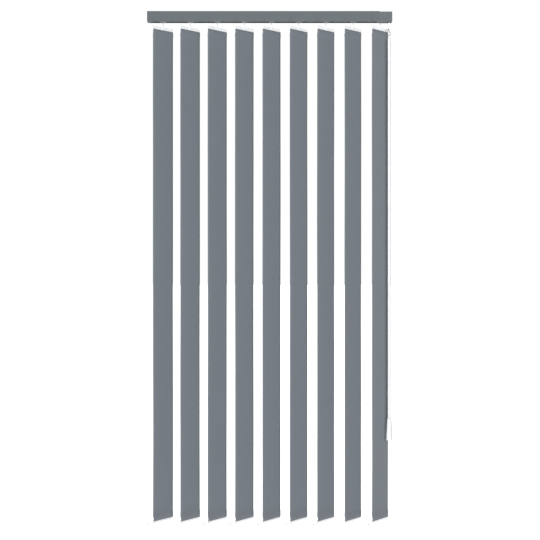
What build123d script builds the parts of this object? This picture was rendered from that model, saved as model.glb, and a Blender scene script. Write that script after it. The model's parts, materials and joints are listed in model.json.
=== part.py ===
from build123d import *
import os
from math import cos, pi, radians, sin

# Vertical blind with nine cloth vanes, hung from two clips under a ceiling.
# Origin: on the ceiling plane, midway between the clip screws. +X runs along
# the headrail, -Y faces the room and +Z is up. Millimetres throughout.

# ---- Layout of the whole blind ----
vane_count = 9
vane_pitch = 115.0              # stem to stem with the blind drawn across
rail_margin_anchor = 66.0       # rail end to first stem
rail_margin_control = 50.0      # last stem to the other rail end
vane_angle = 53.0               # how far the vanes stand turned from the rail
rail_to_cloth = 35.0            # underside of rail to top edge of cloth
cloth_length = 2072.0
cloth_width = 127.0
cloth_thickness = 0.5

# ---- Headrail extrusion ----
rail_depth = 44.0
rail_height = 44.0
rail_wall = 1.4
rail_slot = 30.0                # open width between the two bottom lips
clip_channel = 3.8              # height of the channel that takes the clips
clip_lip = 7.0                  # reach of each lip over that channel
edge_radius = 0.8

# ---- Ceiling clips ----
clip_spacing = 700.0
clip_stand = 1.0                # air between the rail's top and the ceiling
clip_length = 30.0
clip_plate = 1.5
clip_boss = 24.0
clip_hole_radius = 2.6

# ---- End pieces ----
cap_flange = 3.0
cap_plug = 10.0
housing_length = 54.0
housing_wall = 2.4
housing_drop = 1.0              # the housing hangs this far below the rail
housing_end = 2.5
tongue_length = 20.0

# ---- Clearances ----
running_fit = 0.08              # radial, for every shaft in its bore
slide_gap = 0.3                 # between sliding flats
push_fit = 0.1                  # between pieces pressed together
mesh_clearance = 0.25           # backlash between gear lobes

# ---- Tilt rod and its worms ----
rod_radius = 2.5
rod_groove = 0.7
rod_lift = 13.8                 # glide plate to rod centre
thread_lead = 4.5
thread_swing = 0.65             # half the depth of thread and teeth
worm_mean = 4.3
worm_length = 9.0
journal_radius = 3.5
journal_length = 3.2
wheel_teeth = 8
wheel_thickness = 5.0

# ---- Carriers ----
carrier_length = 25.0
carrier_wall = 1.6
glide_thickness = 2.5
nose_length = 20.0
nose_gap = 0.4
anchor_screw_radius = 1.3
anchor_screw_head = 2.5
anchor_screw_seat = 18.0        # how far behind the stems the screw stands

# ---- Spacer strips that link the carriers ----
strip_width = 8.0
strip_thickness = 0.4
strip_step = 0.6
bridge_bar = 1.5
bridge_length = 3.4

# ---- Stems and hangers ----
stem_radius = 2.4
hanger_thickness = 1.2
hanger_bead = 2.0
hanger_shown = 13.0             # part of the hanger above the cloth
hanger_hidden = 20.0            # part of the hanger inside the cloth's pocket
hanger_bead_height = 2.4
prong_gap = 0.1
prong_thickness = 1.1
prong_width = 6.0
prong_length = 11.0
catch_height = 4.0

# ---- Bottom weights ----
weight_thickness = 1.6
weight_hidden = 26.0
weight_shown = 8.5
eye_reach = 34.0                # how far the chain eye stands past the cloth
eye_rise = 9.5
eye_apex = 10.0
eye_wire = 2.4

# ---- Loose chain end on the last vane ----
chain_radius = 1.5
chain_route = [(-18.5, -7.0), (-6.0, -14.5), (4.5, -29.0), (10.0, -46.0), (18.0, -61.0)]

# ---- Wand drive in the lead carrier ----
wand_offset = 39.0              # last stem to wand
bevel_outer = 6.0
bevel_inner = 4.2
bevel_swing = 0.08              # lobe height as a share of the radius
bevel_hub = 2.0
shaft_radius = 3.0
shaft_drop = 34.0               # underside of rail to the foot of the shaft
shaft_blade = 3.0
eye_hole_radius = 2.2
eye_hole_lift = 5.0

# ---- Wand ----
hook_wire = 1.5                 # half the wire's thickness
hook_drop = 30.0                # from the shaft's eye to the wand's eye
hook_half = 4.6
wand_across_flats = 13.0
wand_bore = 9.0
wand_length = 1648.0
wand_cap_head = 9.0
wand_cap_plug = 18.0
grip_length = 92.0
grip_top_radius = 9.8
grip_foot_radius = 14.0
grip_corner = 5.0
grip_socket = 40.0

# ---- Places worked out from the sizes above ----
rail_top = -clip_stand
rail_bottom = rail_top - rail_height
stem_places = [
    (k - (vane_count - 1) / 2) * vane_pitch + (rail_margin_anchor - rail_margin_control) / 2
    for k in range(vane_count)
]
rail_left = stem_places[0] - rail_margin_anchor
rail_right = stem_places[-1] + rail_margin_control
web_top = rail_top - rail_wall - clip_channel
web_bottom = web_top - rail_wall
lip_top = rail_bottom + rail_wall
inner_depth = rail_depth - 2 * rail_wall

glide_bottom = lip_top + slide_gap
glide_top = glide_bottom + glide_thickness
glide_width = inner_depth - 2 * slide_gap
rod_z = glide_top + rod_lift
wheel_mean = wheel_teeth * thread_lead / (2 * pi)
wheel_tip = wheel_mean + thread_swing
worm_crest = worm_mean + thread_swing
rod_y = -(wheel_mean + worm_mean)
block_top = rod_z + journal_radius + 3.0
block_front = rod_y - worm_crest - slide_gap - carrier_wall
block_back = wheel_tip + slide_gap + carrier_wall
wheel_floor = rod_z - wheel_thickness / 2 - slide_gap
nose_bottom = rail_bottom

cloth_top = rail_bottom - rail_to_cloth
cloth_bottom = cloth_top - cloth_length
hanger_top = cloth_top + hanger_shown
wand_x = stem_places[-1] + wand_offset
shaft_foot = rail_bottom - shaft_drop
upper_eye = shaft_foot + eye_hole_lift
lower_eye = upper_eye - hook_drop
wand_top = lower_eye - eye_hole_radius - 1.5
wand_foot = wand_top - wand_cap_head - wand_length
grip_foot = wand_foot + grip_socket - grip_length


def block(x_range, y_range, z_range):
    """A box given by its two ends along each axis."""
    size = [high - low for low, high in (x_range, y_range, z_range)]
    middle = [(high + low) / 2 for low, high in (x_range, y_range, z_range)]
    return Pos(*middle) * Box(*size)


def upright(radius, z_range, x=0.0, y=0.0):
    """A round bar standing along Z."""
    height = z_range[1] - z_range[0]
    return Pos(x, y, (z_range[0] + z_range[1]) / 2) * Cylinder(radius, height)


def level_bar(radius, x_range, y=0.0, z=0.0):
    """A round bar lying along X."""
    length = x_range[1] - x_range[0]
    return Pos((x_range[0] + x_range[1]) / 2, y, z) * Rot(0, 90, 0) * Cylinder(radius, length)


def along_x(section, x_range):
    """Extrudes a section, drawn with its own x and y as Y and Z, between two X places."""
    frame = Plane(origin=(x_range[0], 0, 0), x_dir=(0, 1, 0), z_dir=(1, 0, 0))
    return extrude(frame * section, x_range[1] - x_range[0])


def rectangle(y_range, z_range):
    """A flat rectangle given by its two ends each way."""
    size = (y_range[1] - y_range[0], z_range[1] - z_range[0])
    return Pos((y_range[0] + y_range[1]) / 2, (z_range[0] + z_range[1]) / 2) * Rectangle(*size)


def lobed_face(mean, swing, lobes, phase=1.0):
    """A round outline that swells and dips once for each lobe."""
    steps = lobes * 8
    radii = [mean + phase * swing * cos(2 * pi * i * lobes / steps) for i in range(steps)]
    points = [(r * cos(2 * pi * i / steps), r * sin(2 * pi * i / steps)) for i, r in enumerate(radii)]
    return make_face(Spline(*points, periodic=True))


def rod_section(clearance):
    """The tilt rod's round section with three grooves, grown all round by a clearance."""
    outline = Circle(rod_radius + clearance)
    for turn in range(3):
        groove = Rot(0, 0, 90 + 120 * turn) * Pos(rod_radius, 0) * Circle(rod_groove - clearance)
        outline -= groove
    return outline


# ---- Rail and its end pieces ----

def headrail(anchor_screw_x):
    """Aluminium extrusion: clip channel on top, carrier channel below, open slot underneath."""
    half = rail_depth / 2
    outer = Pos(0, (rail_top + rail_bottom) / 2) * RectangleRounded(rail_depth, rail_height, edge_radius)
    channel = rectangle((-inner_depth / 2, inner_depth / 2), (web_top, rail_top - rail_wall))
    mouth = rectangle((clip_lip - half, half - clip_lip), (rail_top - rail_wall, rail_top + 1))
    hollow = rectangle((-inner_depth / 2, inner_depth / 2), (lip_top, web_bottom))
    slot = rectangle((-rail_slot / 2, rail_slot / 2), (rail_bottom - 1, lip_top))
    x_range = (rail_left + cap_flange, rail_right - housing_length)
    rail = along_x(outer - channel - mouth - hollow - slot, x_range)
    rail -= upright(anchor_screw_radius + push_fit, (rail_bottom - 1, lip_top + 1), anchor_screw_x,
                    anchor_screw_seat)
    return rail


def end_cap():
    """Moulded cap for the anchor end, with a hollow plug and a bearing for the tilt rod."""
    half = rail_depth / 2
    face = Pos(0, (rail_top + rail_bottom) / 2) * RectangleRounded(rail_depth, rail_height, edge_radius)
    cap = along_x(face, (rail_left, rail_left + cap_flange))
    side = inner_depth / 2 - push_fit
    plug_z = (lip_top + push_fit, web_bottom - push_fit)
    start = rail_left + cap_flange
    plug = block((start, start + cap_plug), (-side, side), plug_z)
    hollow = block((start, start + cap_plug + 1), (2 - side, side - 2), (plug_z[0] + 2, plug_z[1] - 2))
    boss = level_bar(rod_radius + 2.2, (start, start + cap_plug), rod_y, rod_z)
    bearing = level_bar(rod_radius + running_fit, (rail_left + 1.2, start + cap_plug + 1), rod_y, rod_z)
    cap += plug - hollow
    cap += boss
    tongue_half = half - clip_lip - push_fit
    cap += block((start, start + 6), (-tongue_half, tongue_half), (web_top, rail_top - 0.6))
    return cap - bearing


def control_housing():
    """Moulded end piece that carries the rail's channel on, so the lead carrier can park in it."""
    start = rail_right - housing_length
    top = web_bottom + housing_wall
    bottom = rail_bottom - housing_drop
    crown = rail_top - 1.9
    outer = Pos(0, (crown + bottom) / 2) * RectangleRounded(rail_depth - 0.4, crown - bottom, edge_radius)
    shell = along_x(outer, (start, rail_right))
    inside = block((start - 1, rail_right - housing_end), (-inner_depth / 2, inner_depth / 2),
                   (lip_top, web_bottom))
    slot = block((start - 1, rail_right - housing_end), (-rail_slot / 2, rail_slot / 2),
                 (bottom - 1, lip_top + 1))
    core = block((start - 1, rail_right - housing_end), (2 - inner_depth / 2, inner_depth / 2 - 2),
                 (top, crown - 1.4))
    shell -= inside
    shell -= slot
    shell -= core
    tongue_z = (web_top + push_fit, rail_top - rail_wall - push_fit)
    tongue_side = inner_depth / 2 - push_fit
    tongue = block((start - tongue_length, start + 2), (-tongue_side, tongue_side), tongue_z)
    tongue -= block((start - tongue_length - 1, start - 2), (4 - tongue_side, tongue_side - 4),
                    (tongue_z[0] - 1, tongue_z[1] + 1))
    shell += tongue
    bearing = level_bar(rod_radius + running_fit, (rail_right - housing_end - 1, rail_right - 0.8),
                        rod_y, rod_z)
    return shell - bearing


def ceiling_clip(x):
    """Clip screwed to the ceiling: its plate turns in under the lips of the clip channel."""
    plate_top = rail_top - rail_wall - push_fit
    side = inner_depth / 2 - 1.0
    outline = RectangleRounded(clip_length, 2 * side, 4)
    plate = extrude(Pos(x, 0, plate_top - clip_plate) * outline, clip_plate)
    boss = extrude(Pos(x, 0, plate_top) * RectangleRounded(clip_boss, clip_boss, 3), -plate_top)
    clip = plate + boss
    return clip - upright(clip_hole_radius, (plate_top - clip_plate - 1, 1), x)


def tilt_rod():
    """Grooved rod that runs the length of the rail and turns every worm."""
    return Pos(0, rod_y, rod_z) * along_x(rod_section(0.0), (rail_left + 1.5, rail_right - 1.1))


# ---- Carriers ----

def carrier_block(x, right):
    """Glide plate, gearbox and nose of a carrier, before anything is bored out."""
    left = x - carrier_length / 2
    body = block((left, right), (-glide_width / 2, glide_width / 2), (glide_bottom, glide_top))
    body += block((left, right), (block_front, block_back), (glide_top, block_top))
    nose_half = rail_slot / 2 - nose_gap
    body += block((x - nose_length / 2, right - carrier_length / 2 + nose_length / 2),
                  (-nose_half, nose_half), (nose_bottom, glide_bottom))
    return body


def bore_for_vane_drive(body, x):
    """Cuts the wheel's well, the worm's trough, their bearings and the stem's bore."""
    well = wheel_tip + slide_gap
    trough = worm_crest + slide_gap
    body -= upright(well, (wheel_floor, block_top + 1), x)
    body -= block((x - worm_length / 2 - slide_gap, x + worm_length / 2 + slide_gap),
                  (rod_y - trough, rod_y + trough), (rod_z - trough, block_top + 1))
    body -= block((x - 3, x + 3), (rod_y, 0), (wheel_floor, block_top + 1))
    body -= level_bar(journal_radius + running_fit,
                      (x - carrier_length / 2 - 1, x + carrier_length / 2 + slide_gap), rod_y, rod_z)
    return body - upright(stem_radius + running_fit, (nose_bottom - 1, wheel_floor + 1), x)


def guide_bridge(x):
    """Gate on top of a carrier that the spacer strips slide through."""
    high = block_top + strip_step * (vane_count - 1) + strip_thickness + slide_gap
    x_range = (x - bridge_length / 2, x + bridge_length / 2)
    inner = strip_width / 2 + slide_gap
    gate = block(x_range, (-inner - bridge_bar, inner + bridge_bar), (block_top, high + bridge_bar))
    return gate - block((x_range[0] - 1, x_range[1] + 1), (-inner, inner), (block_top, high))


def spacer_strip(place):
    """Strip fixed to one carrier that reaches through the gate of the next."""
    x = stem_places[place]
    root = x - carrier_length / 2
    end = x + vane_pitch + carrier_length / 2
    level = block_top + strip_step * (vane_count - 2 - place) + slide_gap
    sides = (-strip_width / 2, strip_width / 2)
    strip = block((root, end), sides, (level, level + strip_thickness))
    return strip + block((root, root + 3), sides, (block_top, level))


def carrier(place):
    """Carrier for one vane; all but the lead carrier also hold a spacer strip."""
    x = stem_places[place]
    body = bore_for_vane_drive(carrier_block(x, x + carrier_length / 2), x)
    body += guide_bridge(x + carrier_length / 2 - bridge_length / 2)
    if place == 0:
        body -= upright(anchor_screw_radius + push_fit, (glide_bottom - 1, glide_top + 1), x,
                        anchor_screw_seat)
    return [body, spacer_strip(place)]


def anchor_screw():
    """Screw that pins the first carrier to the rail's back lip."""
    x = stem_places[0]
    shank = upright(anchor_screw_radius, (rail_bottom - 0.6, glide_top + 0.5), x, anchor_screw_seat)
    return shank + upright(anchor_screw_head, (glide_top, glide_top + 1.7), x, anchor_screw_seat)


def lead_carrier():
    """Longer carrier at the control side, which also holds the wand's bevel gears."""
    x = stem_places[-1]
    reach = bevel_outer * (1 + bevel_swing) + slide_gap
    right = wand_x + reach + 1.2
    body = bore_for_vane_drive(carrier_block(x, right), x)
    front = rod_y - reach - carrier_wall
    body += block((wand_x - reach - bevel_hub - 3, right), (front, block_front), (glide_top, block_top))
    floor = rod_z - bevel_outer - bevel_hub - slide_gap
    body -= block((wand_x - reach - bevel_hub - 1, wand_x + reach), (rod_y - reach, rod_y + reach),
                  (floor, block_top + 1))
    body -= level_bar(rod_radius + 1.0, (x, right + 1), rod_y, rod_z)
    body -= upright(shaft_radius + running_fit, (nose_bottom - 1, floor + 1), wand_x, rod_y)
    return body + guide_bridge(x + carrier_length / 2 - bridge_length / 2)


# ---- Tilt gearing ----

def worm(place):
    """Single-start worm: a round section set off centre and twisted along the rod."""
    thread_turn = 360 * worm_length / thread_lead
    section = Rot(0, 0, -thread_turn / 2) * Pos(thread_swing, 0) * Circle(worm_mean - mesh_clearance)
    thread = Solid.extrude_linear_with_rotation(
        section.face(), (0, 0, 0), (0, 0, worm_length), thread_turn)
    body = Part() + Pos(0, 0, -worm_length / 2) * thread
    for side in (-1, 1):
        middle = side * (worm_length + journal_length) / 2
        body += Pos(0, 0, middle) * Cylinder(journal_radius, journal_length)
    overall = worm_length + 2 * journal_length + 2
    body -= extrude(Pos(0, 0, -overall / 2) * rod_section(running_fit), overall)
    lying = Plane(origin=(stem_places[place], rod_y, rod_z), x_dir=(0, 1, 0), z_dir=(1, 0, 0))
    return lying * body


def rod_bevel():
    """Bevel gear on the rod, beside the wand's pinion."""
    big = Plane(origin=(wand_x - bevel_outer, rod_y, rod_z), x_dir=(0, 1, 0), z_dir=(1, 0, 0))
    small = Plane(origin=(wand_x - bevel_inner, rod_y, rod_z), x_dir=(0, 1, 0), z_dir=(1, 0, 0))
    gear = bevel_cone(big, small, 1.0)
    gear += level_bar(bevel_inner, (wand_x - bevel_outer - bevel_hub, wand_x - bevel_outer), rod_y, rod_z)
    bore = along_x(rod_section(running_fit), (wand_x - bevel_outer - bevel_hub - 1, wand_x))
    return gear - Pos(0, rod_y, rod_z) * bore


def bevel_cone(big, small, phase):
    """Lobed cone between two planes, smaller by the backlash."""
    outer = bevel_outer - mesh_clearance
    inner = bevel_inner - mesh_clearance
    return loft([
        big * lobed_face(outer, bevel_outer * bevel_swing, wheel_teeth, phase),
        small * lobed_face(inner, bevel_inner * bevel_swing, wheel_teeth, phase),
    ])


# ---- Vanes, drawn edge-on to the rail and then turned about their stems ----

def stem_wheel():
    """Lobed wheel on top of a stem, set to mesh with the worm."""
    outline = lobed_face(wheel_mean - mesh_clearance, thread_swing, wheel_teeth, -1.0)
    return extrude(Pos(0, 0, rod_z - wheel_thickness / 2) * outline, wheel_thickness)


def stem():
    """Stem with two prongs that straddle the hanger and catch its window."""
    inner = hanger_bead / 2 + prong_gap
    outer = inner + prong_thickness
    neck = hanger_top + prong_gap
    bar = upright(stem_radius, (neck + 3, rod_z - wheel_thickness / 2))
    foot = Pos(0, 0, neck + 3) * Rectangle(prong_width, 2 * outer)
    bar += loft([Pos(0, 0, neck + 7) * Circle(stem_radius), foot])
    bar += block((-prong_width / 2, prong_width / 2), (-outer, outer), (neck - prong_length, neck + 3))
    bar -= block((-prong_width, prong_width), (-inner, inner), (neck - prong_length - 1, neck))
    catch = hanger_window()
    tooth = block((-1.4, 1.4), (-inner, inner - 2 * prong_gap), (catch[0] + 0.3, catch[1] - 0.9))
    return bar + tooth


def hanger_window():
    """Height range of the slot in the hanger that the stem's tooth goes through."""
    top = hanger_top - hanger_bead_height - 1.6
    return (top - catch_height, top)


def hanger():
    """Flat strip across the top of a vane; its lower part sits in the cloth's pocket."""
    half = cloth_width / 2
    plate_z = (cloth_top - hanger_hidden, hanger_top)
    plate = block((-half, half), (-hanger_thickness / 2, hanger_thickness / 2), plate_z)
    bead = block((-half, half), (-hanger_bead / 2, hanger_bead / 2), (hanger_top - hanger_bead_height,
                                                                     hanger_top))
    ledge = block((-half, half), (-hanger_bead / 2, hanger_bead / 2), (cloth_top + 0.2, cloth_top + 1.6))
    window = block((-2.2, 2.2), (-hanger_bead, hanger_bead), hanger_window())
    return plate + bead + ledge - window


def slat():
    """Cloth vane: one sheet with a welded pocket at each end for the hanger and the weight."""
    half = cloth_thickness / 2
    upper = hanger_thickness / 2
    lower = weight_thickness / 2
    upper_z = cloth_top - hanger_hidden
    lower_z = cloth_bottom + weight_hidden
    sheet = rectangle((-half, half), (lower_z + 3, upper_z - 3))
    for gap, near, far, turn in ((upper, upper_z, cloth_top, -3), (lower, lower_z, cloth_bottom, 3)):
        sheet += straight_sided_face([
            (-half, near + turn), (half, near + turn), (gap + cloth_thickness, near),
            (gap + cloth_thickness, far), (gap, far), (gap, near), (-gap, near), (-gap, far),
            (-gap - cloth_thickness, far), (-gap - cloth_thickness, near)])
    return along_x(sheet, (-cloth_width / 2, cloth_width / 2))


def straight_sided_face(points):
    """A flat face inside a closed run of straight edges."""
    return make_face(Polyline(*points, close=True))


def weight():
    """Bottom weight: a plate in the pocket, a rim below the cloth and a triangular chain eye."""
    half = cloth_width / 2
    inset = 1.0
    top = cloth_bottom + weight_hidden
    rim = cloth_bottom - weight_shown
    flat = rectangle((inset - half, half - inset), (rim, top))
    edge = [(-half + inset, cloth_bottom + eye_rise - 3), (-half - eye_apex, cloth_bottom + eye_rise),
            (-half - eye_reach, rim + 1.2), (-half - eye_reach, rim - 1.0), (-half + inset, rim)]
    flat += straight_sided_face(edge)
    flat -= offset(straight_sided_face(edge), -eye_wire) - rectangle((-half - 1, half), (rim - 9, top))
    frame = Plane(origin=(0, weight_thickness / 2, 0), x_dir=(1, 0, 0), z_dir=(0, -1, 0))
    return extrude(frame * flat, weight_thickness)


def in_vane_place(shape, place):
    """Turns a vane's piece about its stem and carries it along the rail."""
    return Pos(stem_places[place], 0, 0) * Rot(0, 0, vane_angle) * shape


def stem_and_hanger(place):
    """The stem with its wheel, and the hanger that it holds, as two solids."""
    turned = in_vane_place(stem(), place)
    geared = Pos(stem_places[place], 0, 0) * stem_wheel()
    return [turned + geared, in_vane_place(hanger(), place)]


def chain_end():
    """Loose end of the bottom chain, hanging from the far end of the last weight."""
    half = cloth_width / 2
    points = [(half + x, 0, cloth_bottom + z) for x, z in chain_route]
    bends = []
    for before, here, after in zip(points, points[1:], points[2:]):
        come = Vector(*here) - Vector(*before)
        go = Vector(*after) - Vector(*here)
        turn = come.get_angle(go)
        bends.append(0.45 * min(come.length, go.length) / tan_half(turn))
    print("chain bend radii", [round(r, 1) for r in bends])
    route = FilletPolyline(*points, radius=bends)
    section = Plane(origin=route @ 0, z_dir=route % 0) * Circle(chain_radius)
    return in_vane_place(sweep(section, route), vane_count - 1)


def tan_half(degrees):
    """Tangent of half an angle in degrees."""
    return sin(radians(degrees / 2)) / cos(radians(degrees / 2))


# ---- Wand ----

def wand_shaft():
    """Bevel pinion, shaft and flattened eye that the wand's hook hangs in."""
    big = Plane(origin=(wand_x, rod_y, rod_z - bevel_outer))
    small = Plane(origin=(wand_x, rod_y, rod_z - bevel_inner))
    shaft = bevel_cone(big, small, -1.0)
    hub = rod_z - bevel_outer - bevel_hub
    shaft += upright(bevel_inner, (hub, rod_z - bevel_outer), wand_x, rod_y)
    shaft += upright(shaft_radius, (shaft_foot + 12, hub), wand_x, rod_y)
    blade = Pos(wand_x, rod_y, 0) * block((-shaft_blade / 2, shaft_blade / 2), (-4, 4),
                                          (shaft_foot, shaft_foot + 12))
    shaft += fillet(blade.edges().filter_by(Axis.X), 3.0)
    return shaft - level_bar(eye_hole_radius, (wand_x - 5, wand_x + 5), rod_y, upper_eye)


def wand_hook():
    """Bent wire: across through the shaft's eye, down in front, and back through the wand's eye."""
    reach = hook_half
    high = upper_eye - eye_hole_radius + hook_wire + 0.1
    low = lower_eye + eye_hole_radius - hook_wire - 0.1
    front = -(wand_across_flats / 2 + hook_wire + slide_gap)
    points = [(reach, 0, high), (-reach, 0, high), (-reach - 0.6, front + 2, high - 6),
              (reach, front, low + 8), (0, front, low), (0, -front, low)]
    bends = [2.2, 3.0, 3.4, 3.0]
    path = Pos(wand_x, rod_y, 0) * FilletPolyline(*points, radius=bends)
    section = Plane(origin=path @ 0, z_dir=path % 0) * Circle(hook_wire)
    return sweep(section, path, transition=Transition.ROUND)


def wand_cap():
    """Plug in the top of the wand with the cross hole for the hook."""
    shoulder = lower_eye - eye_hole_radius - 1.5
    top = lower_eye + eye_hole_radius + 1.6
    seat = wand_top - wand_cap_head
    head = upright(wand_bore / 2 + 1.6, (seat, shoulder + 0.5), wand_x, rod_y)
    lug = Pos(wand_x, rod_y, 0) * block((-4, 4), (-2.5, 2.5), (shoulder, top))
    head += fillet(lug.edges().filter_by(Axis.Y), 2.4)
    head += upright(wand_bore / 2 - push_fit, (seat - wand_cap_plug, seat), wand_x, rod_y)
    hole = Pos(wand_x, rod_y, lower_eye) * Rot(90, 0, 0) * Cylinder(eye_hole_radius, 20)
    return head - hole


def wand():
    """Six-sided tube with one corner towards the room."""
    top = wand_top - wand_cap_head
    hexagon = Rot(0, 0, 30) * RegularPolygon(wand_across_flats / 2, 6, major_radius=False)
    ring = fillet(hexagon.vertices(), 0.8) - Circle(wand_bore / 2)
    return extrude(Pos(wand_x, rod_y, wand_foot) * ring, top - wand_foot)


def wand_grip():
    """Cone-shaped handle with a six-sided socket for the wand."""
    outline = straight_sided_face([
        (0, 0), (grip_foot_radius, 0), (grip_top_radius, grip_length), (0, grip_length)])
    corners = outline.vertices().sort_by(Axis.X)
    outline = fillet(corners[-1], grip_corner)
    outline = fillet(outline.vertices().sort_by(Axis.Y)[-1], 2.0)
    grip = revolve(Plane.XZ * outline, Axis.Z)
    flats = wand_across_flats / 2 + push_fit
    socket = Rot(0, 0, 30) * RegularPolygon(flats, 6, major_radius=False)
    grip -= extrude(Pos(0, 0, grip_length - grip_socket) * socket, grip_socket + 1)
    return Pos(wand_x, rod_y, grip_foot) * grip


def save(name, shape):
    """Writes one sub-part, which may be a list of separate solids."""
    solids = shape if isinstance(shape, list) else [shape]
    parts = [solid for piece in solids for solid in piece.solids()]
    whole = parts[0] if len(parts) == 1 else Compound(children=parts)
    export_step(whole, f"parts/{name}.step")


os.makedirs("parts", exist_ok=True)
save("headrail", headrail(stem_places[0]))
save("end_cap", end_cap())
save("control_housing", control_housing())
save("ceiling_clip_1", ceiling_clip(-clip_spacing / 2))
save("ceiling_clip_2", ceiling_clip(clip_spacing / 2))
save("anchor_screw", anchor_screw())
save("tilt_rod", tilt_rod())
for place in range(vane_count - 1):
    save(f"carrier_{place + 1}", carrier(place))
save("lead_carrier", lead_carrier())
for place in range(vane_count):
    save(f"worm_{place + 1}", worm(place))
    save(f"stem_and_hanger_{place + 1}", stem_and_hanger(place))
    save(f"slat_{place + 1}", in_vane_place(slat(), place))
    save(f"weight_{place + 1}", in_vane_place(weight(), place))
save("chain_end", chain_end())
save("rod_bevel", rod_bevel())
save("wand_shaft", wand_shaft())
save("wand_hook", wand_hook())
save("wand_cap", wand_cap())
save("wand", wand())
save("wand_grip", wand_grip())
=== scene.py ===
import json
import math

import bmesh
import bpy
from mathutils import Matrix, Vector


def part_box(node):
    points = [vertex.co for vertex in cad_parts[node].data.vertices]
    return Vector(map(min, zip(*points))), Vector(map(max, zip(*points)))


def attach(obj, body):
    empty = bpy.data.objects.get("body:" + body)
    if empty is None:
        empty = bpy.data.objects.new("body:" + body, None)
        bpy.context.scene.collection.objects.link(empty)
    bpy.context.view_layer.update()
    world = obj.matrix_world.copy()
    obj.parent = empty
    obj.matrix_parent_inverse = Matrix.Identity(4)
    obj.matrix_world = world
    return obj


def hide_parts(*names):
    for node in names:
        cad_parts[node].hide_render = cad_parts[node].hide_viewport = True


bl_info = {
    "name": "Vertical Blind",
    "version": (1, 0, 0),
    "blender": (4, 5, 0),
    "location": "3D View > Sidebar > Blind",
    "description": "Cloth, bottom chain, finishes and studio for a vertical blind",
    "category": "Object",
}

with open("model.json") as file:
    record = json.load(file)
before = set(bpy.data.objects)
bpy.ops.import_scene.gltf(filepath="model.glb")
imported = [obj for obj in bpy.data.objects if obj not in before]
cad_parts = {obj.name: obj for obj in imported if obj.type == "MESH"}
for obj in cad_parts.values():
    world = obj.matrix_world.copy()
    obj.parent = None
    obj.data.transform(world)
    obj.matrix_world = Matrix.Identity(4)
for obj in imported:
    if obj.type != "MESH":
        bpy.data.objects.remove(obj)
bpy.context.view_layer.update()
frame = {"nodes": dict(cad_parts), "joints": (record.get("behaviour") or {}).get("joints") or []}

VANES = sum(name.startswith("slat_") for name in frame["nodes"])
STEMS = {
    joint["child"]: Vector(joint["pos_m"])
    for joint in frame["joints"]
    if joint["child"].startswith("vane_")
}


# ---- Settings a user would change ----

class BlindSizes(bpy.types.PropertyGroup):
    """Sizes of the cloth and of the bottom chain."""

    cloth_width: bpy.props.FloatProperty(
        name="Cloth width", description="Width of one vane", default=0.127, unit="LENGTH")
    cloth_thickness: bpy.props.FloatProperty(
        name="Cloth thickness", description="Thickness of the woven cloth",
        default=0.0005, unit="LENGTH")
    vane_angle: bpy.props.FloatProperty(
        name="Vane angle", description="How far the vanes stand turned from the rail",
        default=math.radians(53.0), subtype="ANGLE")
    top_pocket: bpy.props.FloatProperty(
        name="Top pocket", description="Depth of the pocket that holds the hanger",
        default=0.020, unit="LENGTH")
    bottom_pocket: bpy.props.FloatProperty(
        name="Bottom pocket", description="Depth of the pocket that holds the weight",
        default=0.026, unit="LENGTH")
    weld: bpy.props.FloatProperty(
        name="Weld", description="Height of the welded band beside each pocket",
        default=0.008, unit="LENGTH")
    thread_pitch: bpy.props.FloatProperty(
        name="Thread pitch", description="Distance from one yarn of the weave to the next",
        default=0.0007, unit="LENGTH")
    corner_cut: bpy.props.FloatProperty(
        name="Corner cut",
        description="How far the cloth is cut back where the chain eye stands out",
        default=0.0034, unit="LENGTH")
    ripple: bpy.props.FloatProperty(
        name="Ripple", description="How far the hanging cloth strays from flat",
        default=0.0005, unit="LENGTH")
    chain_thread: bpy.props.FloatProperty(
        name="Chain thread", description="Diameter of the thread that the beads sit on",
        default=0.0012, unit="LENGTH")
    bead: bpy.props.FloatProperty(
        name="Bead", description="Diameter of one bead of the bottom chain",
        default=0.0045, unit="LENGTH")
    bead_pitch: bpy.props.FloatProperty(
        name="Bead pitch", description="Distance from one bead to the next",
        default=0.0060, unit="LENGTH")


class BlindColours(bpy.types.PropertyGroup):
    """Colours of the blind's finishes."""

    cloth: bpy.props.FloatVectorProperty(
        name="Cloth", description="Colour of the woven vanes", subtype="COLOR", min=0, max=1,
        default=(0.176, 0.197, 0.221))
    rail: bpy.props.FloatVectorProperty(
        name="Rail", description="Colour of the coated rail and its end mouldings",
        subtype="COLOR", min=0, max=1, default=(0.073, 0.087, 0.096))
    white: bpy.props.FloatVectorProperty(
        name="White plastic", description="Colour of the wand, hangers and weights",
        subtype="COLOR", min=0, max=1, default=(0.88, 0.885, 0.89))
    # Painted shade: the carriers are coloured near black so that they read as dark as the shade
    # in the rail's slot.
    carrier: bpy.props.FloatVectorProperty(
        name="Carriers", description="Colour of the carriers in the rail", subtype="COLOR",
        min=0, max=1, default=(0.090, 0.095, 0.100))
    gear: bpy.props.FloatVectorProperty(
        name="Gears", description="Colour of the worms and the bevel gear", subtype="COLOR",
        min=0, max=1, default=(0.78, 0.77, 0.72))
    steel: bpy.props.FloatVectorProperty(
        name="Steel", description="Colour of the wand's hook and the anchor screw",
        subtype="COLOR", min=0, max=1, default=(0.17, 0.17, 0.175))


# ---- Shader maths ----

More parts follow.
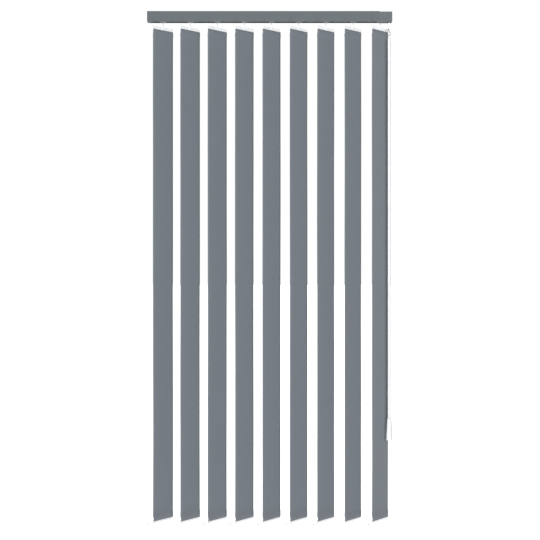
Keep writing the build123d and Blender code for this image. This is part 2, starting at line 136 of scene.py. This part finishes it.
class Signal:
    """One socket's value, on which Python's arithmetic adds nodes."""

    def __init__(self, graph, socket):
        self.graph = graph
        self.socket = socket

    def maths(self, operation, *values):
        settings = {"operation": operation}
        return self.graph.node("ShaderNodeMath", settings, dict(enumerate(values)))

    def __add__(self, other):
        return self.maths("ADD", self, other)

    def __sub__(self, other):
        return self.maths("SUBTRACT", self, other)

    def __rsub__(self, other):
        return self.maths("SUBTRACT", other, self)

    def __mul__(self, other):
        return self.maths("MULTIPLY", self, other)

    def __abs__(self):
        return self.maths("ABSOLUTE", self)

    def sine(self):
        return self.maths("SINE", self)

    def over(self, low, high):
        """0 below low, 1 above high and a smooth step between them."""
        settings = {"interpolation_type": "SMOOTHSTEP"}
        values = {"Value": self, "From Min": low, "From Max": high}
        return self.graph.node("ShaderNodeMapRange", settings, values)


class Graph:
    """A node tree whose new nodes all come from one method."""

    def __init__(self, tree):
        self.tree = tree

    def feed(self, socket, value):
        if isinstance(value, Signal):
            self.tree.links.new(value.socket, socket)
        else:
            socket.default_value = value

    def node(self, kind, settings=None, values=None, out=0):
        """Adds a node, with its settings first and then its sockets' values or links."""
        node = self.tree.nodes.new(kind)
        for key, value in (settings or {}).items():
            setattr(node, key, value)
        for key, value in (values or {}).items():
            self.feed(node.inputs[key], value)
        return Signal(self, node.outputs[out])


class Finish(Graph):
    """A material with one principled shader and its procedural detail."""

    def __init__(self, name, **constants):
        self.material = bpy.data.materials.new(name)
        self.material.use_nodes = True
        super().__init__(self.material.node_tree)
        self.shader = self.tree.nodes["Principled BSDF"]
        for socket, value in constants.items():
            self.shader.inputs[socket.replace("_", " ")].default_value = value

    def place(self, counts=(1, 1, 1), uv=False):
        """A point on the piece, times a count per metre each way."""
        source = self.node("ShaderNodeTexCoord", out="UV" if uv else "Object")
        return self.node("ShaderNodeMapping", None, {"Vector": source, "Scale": counts})

    def along(self, axis):
        """How far a point lies along one axis of the piece."""
        return self.node("ShaderNodeSeparateXYZ", None, {0: self.place()}, out=axis)

    def noise(self, fineness, detail, **where):
        values = {"Vector": self.place(**where), "Scale": fineness, "Detail": detail}
        return self.node("ShaderNodeTexNoise", None, values)

    def mix(self, amount, first, second):
        """A colour between two others."""
        first, second = (c if isinstance(c, Signal) else (*c, 1.0) for c in (first, second))
        values = {0: amount, 6: first, 7: second}
        return self.node("ShaderNodeMix", {"data_type": "RGBA"}, values, out=2)

    def set(self, socket, signal):
        self.feed(self.shader.inputs[socket], signal)

    def relief(self, height, depth, strength=1.0):
        """Raises the surface by a height from 0 to 1, times a depth in metres."""
        values = {"Height": height, "Distance": depth, "Strength": strength}
        self.set("Normal", self.node("ShaderNodeBump", None, values))

    def paint(self, nodes):
        """Puts this material on CAD nodes in place of their plain one."""
        for name in nodes:
            for slot in frame["nodes"][name].material_slots:
                slot.material = self.material


def shaded(colour, share):
    """A colour made lighter or darker."""
    return tuple(min(1.0, channel * share) for channel in colour)


def nodes_named(*starts):
    """The CAD nodes whose names begin with one of the given words."""
    return [name for name in sorted(frame["nodes"]) if name.startswith(starts)]


# ---- Finishes ----

# Where a colour changes along a piece: the axis, where the change begins, where it is complete,
# and the share of the colour from there on.
# Painted light: the rail's underside is drawn 1.8 times lighter than the rest of its coating.
RAIL_UNDERSIDE_PAINTED_LIGHT = ("Z", -0.0443, -0.0448, 1.8)
STEM_IN_SHADE = ("Z", -0.068, -0.050, 0.50)
# Painted shade: the chain eye end of each white weight is drawn at half its tone.
CHAIN_EYE_PAINTED_SHADE = ("Y", -0.048, -0.056, 0.50)
SHAFT_IN_SHADE = ("Z", -0.058, -0.046, 0.25)

ROD_COLOUR = (0.72, 0.73, 0.75)
CLEAR_COLOUR = (0.86, 0.88, 0.89)
SCRATCHES_ALONG_ROD = (6.0, 1500.0, 1500.0)   # counts per metre along each axis
SCRATCHES_ON_WIRE = (700.0, 700.0, 120.0)

RIM_START = 0.004      # how far from the cloth's edge its darker rim begins
RIM_FULL = 0.0008      # how far from the edge the rim has its full tone
DENT_PITCH = 0.003     # distance from one dent of a weld to the next
FOOT_SHADE = 0.09      # height of the soft darkening over the bottom edge


def toned(finish, body, colour, change):
    """A body colour that goes over to a share of a colour at one place along the piece."""
    axis, begins, complete, share = change
    return finish.mix(finish.along(axis).over(begins, complete), body, shaded(colour, share))


def moulded_plastic(name, colour, roughness, grain=1800.0, depth=0.00003, change=None,
                    **constants):
    """Injection-moulded plastic: a fine sparked grain over faint flow marks."""
    finish = Finish(name, **constants)
    flow = finish.noise(35.0, 3.0)
    grains = finish.noise(grain, 2.0)
    body = finish.mix(flow, shaded(colour, 0.975), shaded(colour, 1.02))
    if change:
        body = toned(finish, body, colour, change)
    finish.set("Base Color", body)
    finish.set("Roughness", flow * 0.12 + (roughness - 0.06))
    finish.relief(grains * 0.8 + flow * 0.2, depth)
    return finish


def coated_aluminium(colour):
    """Powder-coated extrusion: soft orange peel over faint die lines that run along the rail."""
    finish = Finish("rail_coating", Specular_IOR_Level=0.2)
    die_lines = finish.noise(1.0, 3.0, counts=(2.0, 900.0, 900.0))
    peel = finish.noise(900.0, 2.0)
    cloud = finish.noise(14.0, 3.0)
    tone = cloud * 0.6 + die_lines * 0.4
    body = finish.mix(tone, shaded(colour, 0.965), shaded(colour, 1.035))
    # Painted light on the rail's underside.
    finish.set("Base Color", toned(finish, body, colour, RAIL_UNDERSIDE_PAINTED_LIGHT))
    finish.set("Roughness", peel * 0.1 + cloud * 0.08 + 0.42)
    finish.relief(peel * 0.7 + die_lines * 0.3, 0.00005)
    return finish


def drawn_metal(name, colour, along, roughness):
    """Metal drawn or turned: fine scratches that run one way."""
    finish = Finish(name, Metallic=1.0)
    scratches = finish.noise(1.0, 4.0, counts=along)
    patches = finish.noise(120.0, 3.0)
    tone = scratches * 0.6 + patches * 0.4
    finish.set("Base Color", finish.mix(tone, shaded(colour, 0.85), shaded(colour, 1.12)))
    finish.set("Roughness", scratches * 0.25 + (roughness - 0.12))
    finish.relief(scratches, 0.00002)
    return finish


def woven_cloth(colour, sizes, drop):
    """Plain-woven polyester with slubbed yarns across, darker towards both long edges, and
    welded bands.
    """
    finish = Finish("woven_polyester", Specular_IOR_Level=0.18, Sheen_Weight=0.06,
                    Sheen_Roughness=0.6)
    point = finish.node("ShaderNodeTexCoord", out="UV")
    across = finish.node("ShaderNodeSeparateXYZ", None, {0: point}, out="X")
    down = finish.node("ShaderNodeSeparateXYZ", None, {0: point}, out="Y")
    turns = 2 * math.pi / sizes.thread_pitch
    warp = (across * turns).sine()
    weft = (down * turns).sine()
    weave = warp * weft * 0.5 + 0.5
    slub = finish.noise(1.0, 3.0, counts=(70.0, 1600.0, 1.0), uv=True)
    ends = finish.noise(1.0, 2.0, counts=(1500.0, 30.0, 1.0), uv=True)
    yarn = slub * 0.6 + ends * 0.4
    tone = weave * 0.35 + yarn * 0.65
    body = finish.mix(tone, shaded(colour, 0.90), shaded(colour, 1.10))
    half = sizes.cloth_width / 2
    rim = abs(across - half).over(half - RIM_START, half - RIM_FULL)
    bands = []
    for depth in (sizes.top_pocket, drop - sizes.bottom_pocket - sizes.weld):
        middle = depth + sizes.weld / 2
        bands.append(1.0 - abs(down - middle).over(sizes.weld * 0.30, sizes.weld * 0.5))
    weld = bands[0] + bands[1]
    dent_turns = 2 * math.pi / DENT_PITCH
    dents = (across * dent_turns).sine() * (down * dent_turns).sine()
    body = finish.mix(rim * 0.5, body, shaded(colour, 0.80))
    body = finish.mix(weld * 0.10, body, shaded(colour, 0.80))
    body = finish.mix(down.over(drop - FOOT_SHADE, drop) * 0.35, body, shaded(colour, 0.80))
    finish.set("Base Color", body)
    finish.set("Roughness", yarn * 0.12 + 0.80 - weld * 0.15)
    finish.relief(weave * 0.5 + yarn * 0.5 + weld * dents * 0.8, 0.00012, 0.7)
    return finish


# ---- Cloth ----

CUT_START = 0.020       # height over the bottom edge where the corner cut begins
CUT_FULL = 0.012        # height under which it has its full depth
POCKET_EASE = 0.007     # height over which a pocket closes to one layer
HANGER_HALF = 0.0006    # half the thickness of the strip inside the top pocket
WEIGHT_HALF = 0.0008    # half the thickness of the weight inside the bottom pocket
POCKET_PLAY = 0.00005   # between the cloth and what its pocket holds
WELD_PLAY = 0.00004     # between the two layers at a weld
TOP_STEPS = (0.007, 0.006)   # first row under the top edge, last row over the pocket's foot
CLOTH_ROWS = 56
CLOTH_COLUMNS = 12
RIPPLE_START = 0.05     # how far from each edge the ripples begin
RIPPLE_EASE = 0.25      # height over which they grow to their full depth
AT_EDGE = 0.001         # how near a point has to be to count as lying on an edge


def vane_frame(number, sizes):
    """Carries a vane's own axes (x across it, y through it) to its stem."""
    stem = STEMS[f"vane_{number}"]
    turn = Matrix.Rotation(sizes.vane_angle, 4, "Z")
    return Matrix.Translation((stem.x, stem.y, 0.0)) @ turn


def smooth_object(name, shell):
    """Turns a bmesh into a smooth-shaded object in the scene."""
    mesh = bpy.data.meshes.new(name)
    shell.to_mesh(mesh)
    shell.free()
    for face in mesh.polygons:
        face.use_smooth = True
    made = bpy.data.objects.new(name, mesh)
    bpy.context.scene.collection.objects.link(made)
    return made


def smooth_step(share):
    """0 to 1 with level ends, for a share from 0 to 1."""
    share = min(1.0, max(0.0, share))
    return share * share * (3 - 2 * share)


def cloth_runs(top, bottom, sizes):
    """The three runs of one strip of cloth, seen from its edge, as (through, height) points."""
    layer = sizes.cloth_thickness
    ease = POCKET_EASE
    upper = top - sizes.top_pocket
    lower = bottom + sizes.bottom_pocket
    over_hanger = HANGER_HALF + layer / 2 + POCKET_PLAY
    over_weight = WEIGHT_HALF + layer / 2 + POCKET_PLAY
    beside = layer + WELD_PLAY
    in_top = (top, top - TOP_STEPS[0], upper + TOP_STEPS[1], upper)
    in_bottom = (bottom, bottom + CUT_FULL, bottom + CUT_START, lower)
    start, end = upper - ease - sizes.weld, lower + ease + sizes.weld
    front = [(-over_hanger, height) for height in in_top]
    front += [(-over_hanger * 0.5, upper - ease / 2), (0.0, upper - ease)]
    front += [(0.0, start + (end - start) * row / CLOTH_ROWS) for row in range(CLOTH_ROWS + 1)]
    front += [(0.0, lower + ease), (-over_weight * 0.5, lower + ease / 2)]
    front += [(-over_weight, height) for height in reversed(in_bottom)]
    top_return = [(over_hanger, height) for height in in_top]
    top_return += [((over_hanger + beside) / 2, upper - ease / 2), (beside, upper - ease),
                   (beside, start)]
    bottom_return = [(over_weight, height) for height in in_bottom]
    bottom_return += [((over_weight + beside) / 2, lower + ease / 2), (beside, lower + ease),
                      (beside, end)]
    return front, top_return, bottom_return


def ripple_at(x, height, top, bottom, number, sizes):
    """How far the hanging cloth strays from flat, fading out at both pockets."""
    fade = smooth_step((top - height - RIPPLE_START) / RIPPLE_EASE)
    fade *= smooth_step((height - bottom - RIPPLE_START) / RIPPLE_EASE)
    wave = math.sin(height * 5.1 + number * 1.7) * 0.6
    wave += math.sin(height * 11.3 + x * 30 + number) * 0.25
    cup = (2 * x / sizes.cloth_width) ** 2 * math.sin(number * 2.3 + height * 1.9)
    return fade * sizes.ripple * (wave + 0.8 * cup)


def hang_cloth(number, sizes):
    """One strip of cloth, drawn across from rows of edges, with a layer back at each pocket."""
    low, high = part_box(f"slat_{number}")
    shell = bmesh.new()
    edge = []
    for run in cloth_runs(high.z, low.z, sizes):
        row = [shell.verts.new((-sizes.cloth_width / 2, y, z)) for y, z in run]
        edge += [shell.edges.new(pair) for pair in zip(row, row[1:])]
    step = Vector((sizes.cloth_width / CLOTH_COLUMNS, 0, 0))
    for _ in range(CLOTH_COLUMNS):
        made = bmesh.ops.extrude_edge_only(shell, edges=edge)["geom"]
        points = [item for item in made if isinstance(item, bmesh.types.BMVert)]
        edge = [item for item in made if isinstance(item, bmesh.types.BMEdge)]
        bmesh.ops.translate(shell, verts=points, vec=step)
    uv = shell.loops.layers.uv.new("cloth")
    for face in shell.faces:
        for corner in face.loops:
            spot = corner.vert.co
            corner[uv].uv = (spot.x + sizes.cloth_width / 2, high.z - spot.z)
    for point in shell.verts:
        point.co.y += ripple_at(point.co.x, point.co.z, high.z, low.z, number, sizes)
    near_edge = AT_EDGE - sizes.cloth_width / 2
    for point in shell.verts:
        if point.co.x < near_edge and point.co.z < low.z + CUT_FULL + AT_EDGE:
            point.co.x += sizes.corner_cut
    bmesh.ops.recalc_face_normals(shell, faces=shell.faces)
    shell.transform(vane_frame(number, sizes))
    cloth = smooth_object(f"vane_cloth_{number}", shell)
    solid = cloth.modifiers.new("thickness", "SOLIDIFY")
    solid.thickness = sizes.cloth_thickness
    solid.offset = 0.0
    return cloth, high.z - low.z


class OBJECT_OT_blind_cloth(bpy.types.Operator):
    """Hangs a strip of woven cloth on every hanger"""

    bl_idname = "object.blind_cloth"
    bl_label = "Cloth vanes"

    def execute(self, context):
        sizes = context.scene.blind_sizes
        finish = None
        for number in range(1, VANES + 1):
            cloth, drop = hang_cloth(number, sizes)
            finish = finish or woven_cloth(context.scene.blind_colours.cloth, sizes, drop)
            cloth.data.materials.append(finish.material)
            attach(cloth, f"vane_{number}")
            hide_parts(f"slat_{number}")
        return {"FINISHED"}


# ---- Bottom chain ----

# Control points of the chain end: how far from the vane's edge, and over its bottom edge.
CHAIN_STEPS = ((-0.0185, -0.0070), (-0.0060, -0.0145), (0.0045, -0.0290), (0.0100, -0.0460),
               (0.0180, -0.0610))


def chain_route(low, sizes):
    """The chain end's control points on the last vane, from its weight down."""
    half = sizes.cloth_width / 2
    return [Vector((half + x, 0.0, low.z + z)) for x, z in CHAIN_STEPS]


def spaced_along(line, pitch):
    """Points a fixed distance apart along a line of vertices."""
    spots, carried = [line[0].copy()], 0.0
    for here, there in zip(line, line[1:]):
        run = (there - here).length
        while carried + run >= pitch:
            here = here.lerp(there, (pitch - carried) / run)
            run = (there - here).length
            carried = 0.0
            spots.append(here.copy())
        carried += run
    return spots


class OBJECT_OT_blind_chain(bpy.types.Operator):
    """Hangs the loose end of the bottom chain from the last weight"""

    bl_idname = "object.blind_chain"
    bl_label = "Bottom chain end"

    def execute(self, context):
        sizes = context.scene.blind_sizes
        low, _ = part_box(f"slat_{VANES}")
        carry = vane_frame(VANES, sizes)
        route = [carry @ point for point in chain_route(low, sizes)]
        curve = bpy.data.curves.new("chain_thread", "CURVE")
        curve.dimensions = "3D"
        spline = curve.splines.new("NURBS")
        spline.points.add(len(route) - 1)
        for place, point in zip(spline.points, route):
            place.co = (*point, 1.0)
        spline.order_u = 3
        spline.use_endpoint_u = True
        spline.resolution_u = 12
        thread = bpy.data.objects.new("chain_thread", curve)
        context.scene.collection.objects.link(thread)
        context.view_layer.update()
        centre = bpy.data.meshes.new_from_object(thread)
        line = [point.co.copy() for point in centre.vertices]
        bpy.data.meshes.remove(centre)
        curve.bevel_depth = sizes.chain_thread / 2
        curve.bevel_resolution = 2
        curve.use_fill_caps = True
        string = bmesh.new()
        for spot in spaced_along(line, sizes.bead_pitch)[1:]:
            bmesh.ops.create_uvsphere(string, u_segments=12, v_segments=8, radius=sizes.bead / 2,
                                      matrix=Matrix.Translation(spot))
        beads = smooth_object("chain_beads", string)
        white = context.scene.blind_colours.white
        finish = moulded_plastic("chain_plastic", shaded(white, 0.50), 0.45,
                                 Specular_IOR_Level=0.2)
        for piece in (thread, beads):
            piece.data.materials.append(finish.material)
            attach(piece, f"vane_{VANES}")
        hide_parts("chain_end")
        return {"FINISHED"}


# ---- Finishes on the CAD nodes ----

class OBJECT_OT_blind_rail(bpy.types.Operator):
    """Coats the rail, and colours its end mouldings and clips"""

    bl_idname = "object.blind_rail"
    bl_label = "Rail"

    def execute(self, context):
        colours = context.scene.blind_colours
        coated_aluminium(colours.rail).paint(["headrail"])
        ends = moulded_plastic("end_moulding", colours.rail, 0.48, 1500.0, 0.00005,
                               Specular_IOR_Level=0.2)
        ends.paint(["end_cap", "control_housing"])
        clips = moulded_plastic("clip_plastic", shaded(colours.white, 0.95), 0.35)
        clips.paint(nodes_named("ceiling_clip"))
        return {"FINISHED"}


class OBJECT_OT_blind_gearing(bpy.types.Operator):
    """Finishes the carriers, the tilt rod and the gears"""

    bl_idname = "object.blind_gearing"
    bl_label = "Carriers and gears"

    def execute(self, context):
        colours = context.scene.blind_colours
        carrier = moulded_plastic("carrier_plastic", colours.carrier, 0.55, 1600.0,
                                  Specular_IOR_Level=0.05)
        carrier.paint(nodes_named("carrier_", "lead_carrier"))
        gear = moulded_plastic("gear_plastic", colours.gear, 0.32, 2200.0, 0.00002)
        gear.paint(nodes_named("worm_", "rod_bevel"))
        rod = drawn_metal("rod_metal", ROD_COLOUR, SCRATCHES_ALONG_ROD, 0.34)
        rod.paint(["tilt_rod"])
        steel = drawn_metal("steel_wire", colours.steel, SCRATCHES_ON_WIRE, 0.42)
        steel.paint(["anchor_screw", "wand_hook"])
        return {"FINISHED"}


class OBJECT_OT_blind_hangers(bpy.types.Operator):
    """Finishes the stems, hangers and bottom weights"""

    bl_idname = "object.blind_hangers"
    bl_label = "Hangers and weights"

    def execute(self, context):
        white = context.scene.blind_colours.white
        hanger = moulded_plastic("hanger_plastic", shaded(white, 1.03), 0.4, 2000.0,
                                 change=STEM_IN_SHADE, Specular_IOR_Level=0.3)
        hanger.paint(nodes_named("stem_and_hanger"))
        # The weights carry painted shade at their chain eye end.
        weight = moulded_plastic("weight_plastic", shaded(white, 0.96), 0.45, 1200.0, 0.00004,
                                 change=CHAIN_EYE_PAINTED_SHADE, Specular_IOR_Level=0.3)
        weight.paint(nodes_named("weight_"))
        return {"FINISHED"}


class OBJECT_OT_blind_wand(bpy.types.Operator):
    """Finishes the wand, its cap, handle and shaft"""

    bl_idname = "object.blind_wand"
    bl_label = "Wand"

    def execute(self, context):
        white = context.scene.blind_colours.white
        wand = moulded_plastic("wand_plastic", shaded(white, 0.75), 0.38, 900.0, 0.00002,
                               Specular_IOR_Level=0.3)
        wand.paint(["wand", "wand_cap", "wand_grip"])
        clear = moulded_plastic("clear_plastic", CLEAR_COLOUR, 0.16, 600.0, 0.00001,
                                change=SHAFT_IN_SHADE, Transmission_Weight=0.45, IOR=1.49)
        clear.paint(["wand_shaft"])
        return {"FINISHED"}


# ---- Studio ----

LAMP_SPREAD = 22.0      # degrees that a lamp fills in the sky
LAMP_REACH = 6.0        # where a lamp's own marker stands
FLOOR_REACH = 40.0
CAMERA_ASIDE = 0.0015   # how far right of the blind's middle the camera stands
CAMERA_SHIFT = -0.05    # lens shift, as a share of the picture's width

LAMPS = (
    # name, compass angle with the rail along 0, height angle, share of full white
    ("left_key", -150.0, 15.0, 0.60),
    ("front_fill", -84.0, 8.0, 0.72),
    ("floor_bounce", -90.0, -55.0, 0.45),
    ("back_left", 125.0, 12.0, 0.40),
    ("back_right", 70.0, 12.0, 0.40),
    ("overhead", 90.0, 78.0, 0.50),
)


def add_lamp(name, compass, height, share):
    """A broad distant lamp. Its share is how white a white surface that faces it looks."""
    light = bpy.data.lights.new(name, "SUN")
    light.energy = share * math.pi
    light.angle = math.radians(LAMP_SPREAD)
    around, up = math.radians(compass), math.radians(height)
    level = math.cos(up)
    toward = Vector((level * math.cos(around), level * math.sin(around), math.sin(up)))
    lamp = bpy.data.objects.new(name, light)
    lamp.location = toward * LAMP_REACH
    lamp.rotation_mode = "QUATERNION"
    lamp.rotation_quaternion = toward.to_track_quat("Z", "Y")
    bpy.context.scene.collection.objects.link(lamp)


class OBJECT_OT_blind_stage(bpy.types.Operator):
    """Lays the pale floor and sets the lights and the camera"""

    bl_idname = "object.blind_stage"
    bl_label = "Stage"

    floor_height: bpy.props.FloatProperty(
        name="Floor", description="Height of the floor, with the ceiling at zero", default=-2.45,
        unit="LENGTH")
    distance: bpy.props.FloatProperty(
        name="Camera distance", description="From the camera to the rail", default=5.5,
        unit="LENGTH")
    eye_level: bpy.props.FloatProperty(
        name="Eye level", description="Height of the camera, with the ceiling at zero",
        default=-0.981, unit="LENGTH")
    view_width: bpy.props.FloatProperty(
        name="View width", description="How much of the rail's plane the picture takes in",
        default=2.29, unit="LENGTH")
    backdrop: bpy.props.FloatProperty(
        name="Backdrop", description="Brightness of the white backdrop", default=1.02, min=0)
    ambient: bpy.props.FloatProperty(
        name="Ambient", description="Brightness of the light that comes from all round",
        default=0.32, min=0)

    def lay_floor(self, scene):
        """A pale floor that shows but throws no light of its own on the blind."""
        ground = bmesh.new()
        bmesh.ops.create_grid(ground, x_segments=8, y_segments=8, size=FLOOR_REACH,
                              matrix=Matrix.Translation((0, 0, self.floor_height)))
        mesh = bpy.data.meshes.new("floor")
        ground.to_mesh(mesh)
        ground.free()
        floor = bpy.data.objects.new("floor", mesh)
        scene.collection.objects.link(floor)
        pale = Finish("pale_floor", Roughness=0.9, Specular_IOR_Level=0.0, Emission_Strength=0.7,
                      Emission_Color=(1.0, 1.0, 1.0, 1.0))
        cloud = pale.noise(0.8, 2.0)
        pale.set("Base Color", pale.mix(cloud, (0.93, 0.93, 0.93), (0.96, 0.96, 0.96)))
        mesh.materials.append(pale.material)
        floor.visible_diffuse = False
        floor.visible_shadow = False

    def light(self, scene):
        """A white backdrop that lights the blind less than it shows, and the lamps."""
        world = bpy.data.worlds.new("studio")
        world.use_nodes = True
        sky = Graph(world.node_tree)
        scattered = sky.node("ShaderNodeLightPath", out="Is Diffuse Ray")
        background = world.node_tree.nodes["Background"]
        background.inputs["Color"].default_value = (1.0, 1.0, 1.0, 1.0)
        dimmed = scattered * (self.backdrop - self.ambient)
        sky.feed(background.inputs["Strength"], self.backdrop - dimmed)
        scene.world = world
        scene.view_settings.view_transform = "Standard"
        for lamp in LAMPS:
            add_lamp(*lamp)

    def place_camera(self, scene):
        """A level camera in front of the blind."""
        lens = bpy.data.cameras.new("camera")
        lens.sensor_width = 36.0
        lens.lens = lens.sensor_width * self.distance / self.view_width
        lens.shift_y = CAMERA_SHIFT
        lens.clip_end = 100.0
        camera = bpy.data.objects.new("camera", lens)
        camera.location = (CAMERA_ASIDE, -self.distance, self.eye_level)
        camera.rotation_euler = (math.radians(90.0), 0.0, 0.0)
        scene.collection.objects.link(camera)
        scene.camera = camera

    def execute(self, context):
        self.lay_floor(context.scene)
        self.light(context.scene)
        self.place_camera(context.scene)
        return {"FINISHED"}


# ---- Panel and registration ----

PIECES = (OBJECT_OT_blind_stage, OBJECT_OT_blind_chain, OBJECT_OT_blind_cloth,
          OBJECT_OT_blind_rail, OBJECT_OT_blind_gearing, OBJECT_OT_blind_hangers,
          OBJECT_OT_blind_wand)


class VIEW3D_PT_blind(bpy.types.Panel):
    """Lists the blind's pieces and settings"""

    bl_idname = "VIEW3D_PT_blind"
    bl_label = "Vertical Blind"
    bl_space_type = "VIEW_3D"
    bl_region_type = "UI"
    bl_category = "Blind"

    def draw(self, context):
        for piece in PIECES:
            self.layout.operator(piece.bl_idname)
        for group in (context.scene.blind_sizes, context.scene.blind_colours):
            for name in group.__annotations__:
                self.layout.prop(group, name)


CLASSES = (BlindSizes, BlindColours, *PIECES, VIEW3D_PT_blind)


def register():
    for made in CLASSES:
        bpy.utils.register_class(made)
    bpy.types.Scene.blind_sizes = bpy.props.PointerProperty(type=BlindSizes)
    bpy.types.Scene.blind_colours = bpy.props.PointerProperty(type=BlindColours)


def unregister():
    del bpy.types.Scene.blind_sizes
    del bpy.types.Scene.blind_colours
    for made in reversed(CLASSES):
        bpy.utils.unregister_class(made)


def main():
    register()
    bpy.ops.object.blind_stage()
    bpy.ops.object.blind_chain()
    bpy.ops.object.blind_cloth()
    bpy.ops.object.blind_rail()
    bpy.ops.object.blind_gearing()
    bpy.ops.object.blind_hangers()
    bpy.ops.object.blind_wand()


if __name__ == "__main__":
    main()
